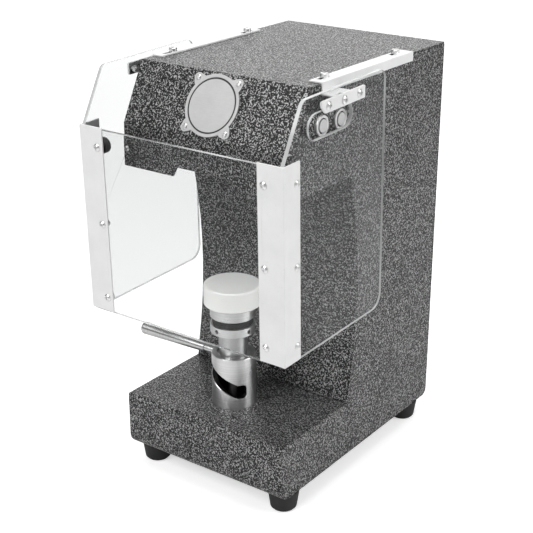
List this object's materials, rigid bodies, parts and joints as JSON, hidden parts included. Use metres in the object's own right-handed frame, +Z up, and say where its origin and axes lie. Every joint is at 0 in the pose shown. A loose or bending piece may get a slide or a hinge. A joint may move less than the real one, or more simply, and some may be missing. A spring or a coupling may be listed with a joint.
{
  "type": "can seaming machine",
  "caption": "Bench-top can seamer with a C-shaped hammered metal body, hinged clear guard, cam-raised can platform worked by a lever, seaming chuck and rollers.",
  "frame": {"origin": "centre of the footprint on the floor, under the rubber feet", "axes": "+Z up, -Y towards the front where the guard is, +X towards the side with the push buttons"},
  "size_m": [0.3166, 0.4134, 0.5623],
  "materials": {
    "hammertone_paint": "hammered vein powder coat",
    "frame_paint": "satin",
    "foot_rubber": "matte",
    "buffer_rubber": "matte",
    "white_paint": "satin white",
    "zinc_screw": "zinc plated",
    "badge_metal": "satin",
    "stainless": "turned and brushed",
    "white_nylon": "turned nylon",
    "machined_steel": "ground",
    "spring_steel": "drawn wire",
    "pulley_aluminium": "turned",
    "belt_rubber": "toothed",
    "motor_paint": "satin black",
    "clear_plastic": "clear polished",
    "black_plastic": "moulded",
    "supply_case": "folded sheet",
    "board_green": "solder mask"
  },
  "bodies": {
    "root": {"side_panel_left": "hammertone_paint", "side_panel_right": "hammertone_paint", "head_cover": "hammertone_paint", "throat_liner": "hammertone_paint", "base_cover": "hammertone_paint", "rear_panel": "hammertone_paint", "base_plate": "hammertone_paint", "head_plate": "frame_paint", "frame_uprights": "frame_paint", "rubber_feet": "foot_rubber", "rail_left": "white_paint", "rail_right": "white_paint", "cover_screws": "zinc_screw", "badge_plate": "badge_metal", "button_pod": "hammertone_paint", "button_bezels": "stainless", "button_switches": "black_plastic", "cam_sleeve": "stainless", "lift_pedestal": "frame_paint", "spindle_housing": "machined_steel", "spindle_bearings": "stainless", "drive_belt": "belt_rubber", "drive_motor": "motor_paint", "arm_pivots": "machined_steel", "arm_springs": "spring_steel", "cam_motor": "motor_paint", "hinge_pivots": "zinc_screw", "mains_inlet": "black_plastic", "power_switch": "black_plastic", "power_supply": "supply_case", "control_board": "board_green"},
    "lift_core": {"lift_stem": "stainless", "thrust_bearing": "stainless"},
    "lever": {"plunger": "stainless", "adjusting_ring": "stainless", "lever_handle": "stainless", "rubber_buffer": "buffer_rubber"},
    "platform": {"platform_hub": "stainless", "can_platform": "white_nylon"},
    "chuck_spindle": {"spindle": "stainless", "seaming_chuck": "stainless", "driven_pulley": "pulley_aluminium"},
    "motor_rotor": {"motor_shaft": "stainless", "motor_pulley": "pulley_aluminium"},
    "arm_first": {"first_seaming_arm": "machined_steel"},
    "arm_second": {"second_seaming_arm": "machined_steel"},
    "roller_first": {"first_seaming_roller": "stainless"},
    "roller_second": {"second_seaming_roller": "stainless"},
    "cam": {"seaming_cam": "machined_steel"},
    "guard": {"guard_front": "clear_plastic", "guard_side_left": "clear_plastic", "guard_side_right": "clear_plastic", "guard_posts": "white_paint", "guard_screws": "zinc_screw", "guard_nuts": "zinc_screw", "hinge_plates": "white_paint", "guard_magnet": "black_plastic"},
    "button_one": {"button_front": "stainless"},
    "button_two": {"button_rear": "stainless"},
    "rocker": {"power_rocker": "black_plastic"}
  },
  "joints": [
    {"name": "lift_rise", "type": "slide", "parent": "root", "child": "lift_core", "axis": [0, 0, 1], "range_m": [-0.0318, 0]},
    {"name": "lever_turn", "type": "hinge", "parent": "lift_core", "child": "lever", "pos_m": [0, -0.0982, 0.171], "axis": [0, 0, 1], "range_deg": [0, 120]},
    {"name": "platform_spin", "type": "hinge", "parent": "lift_core", "child": "platform", "pos_m": [0, -0.0982, 0.25], "axis": [0, 0, 1], "continuous": true},
    {"name": "spindle_spin", "type": "hinge", "parent": "root", "child": "chuck_spindle", "pos_m": [0, -0.0982, 0.46], "axis": [0, 0, 1], "continuous": true},
    {"name": "motor_spin", "type": "hinge", "parent": "root", "child": "motor_rotor", "pos_m": [0, 0.0867, 0.46], "axis": [0, 0, 1], "continuous": true},
    {"name": "first_arm_swing", "type": "hinge", "parent": "root", "child": "arm_first", "pos_m": [-0.06, -0.0423, 0.4415], "axis": [0, 0, 1], "range_deg": [0, 5.2], "stiffness_Nm_per_rad": 2, "springref_deg": -2.86},
    {"name": "second_arm_swing", "type": "hinge", "parent": "root", "child": "arm_second", "pos_m": [0.06, -0.0423, 0.4415], "axis": [0, 0, -1], "range_deg": [0, 5.2], "stiffness_Nm_per_rad": 2, "springref_deg": -2.86},
    {"name": "first_roller_spin", "type": "hinge", "parent": "arm_first", "child": "roller_first", "pos_m": [-0.048, -0.0982, 0.433], "axis": [0, 0, 1], "continuous": true},
    {"name": "second_roller_spin", "type": "hinge", "parent": "arm_second", "child": "roller_second", "pos_m": [0.048, -0.0982, 0.433], "axis": [0, 0, 1], "continuous": true},
    {"name": "cam_turn", "type": "hinge", "parent": "root", "child": "cam", "pos_m": [0, -0.0083, 0.4415], "axis": [0, 0, 1], "continuous": true},
    {"name": "guard_swing", "type": "hinge", "parent": "root", "child": "guard", "pos_m": [0, -0.0857, 0.5395], "axis": [-1, 0, 0], "range_deg": [0, 88]},
    {"name": "front_button_push", "type": "slide", "parent": "root", "child": "button_one", "axis": [-1, 0, 0], "range_m": [0, 0.0024], "stiffness_N_per_m": 400, "springref_m": -0.001},
    {"name": "rear_button_push", "type": "slide", "parent": "root", "child": "button_two", "axis": [-1, 0, 0], "range_m": [0, 0.0024], "stiffness_N_per_m": 400, "springref_m": -0.001},
    {"name": "power_rocker_tilt", "type": "hinge", "parent": "root", "child": "rocker", "pos_m": [-0.045, 0.2027, 0.08], "axis": [1, 0, 0], "range_deg": [0, 14]}
  ],
  "couplings": [
    {"joint": "lift_rise", "follows": "lever_turn", "m_per_rad": -0.015},
    {"joint": "motor_spin", "follows": "spindle_spin", "ratio": 2}
  ]
}
